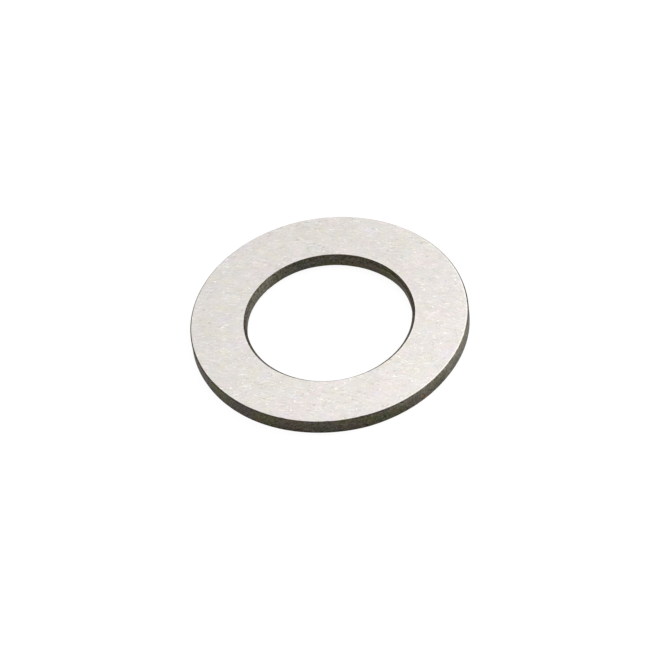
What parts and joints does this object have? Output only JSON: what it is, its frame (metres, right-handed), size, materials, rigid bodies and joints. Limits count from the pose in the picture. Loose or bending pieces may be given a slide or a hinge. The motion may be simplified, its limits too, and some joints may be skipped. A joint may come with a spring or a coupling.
{
  "type": "shim ring",
  "caption": "Flat round steel ring with a plain bore, ground parallel on its faces, that fills end play between parts on a shaft.",
  "frame": {"origin": "on the ring's axis, in the plane of its lower face", "axes": "+Z along the axis of the bore, out of the upper face; the ring is round, so X and Y are free"},
  "size_m": [0.027, 0.027, 0.0016],
  "materials": {
    "ground_steel": "fine ground, matte, pale faces; dark olive-brown heat-treatment scale left on the bore and the outer wall"
  },
  "bodies": {
    "root": {"shim_ring": "ground_steel"}
  },
  "joints": []
}
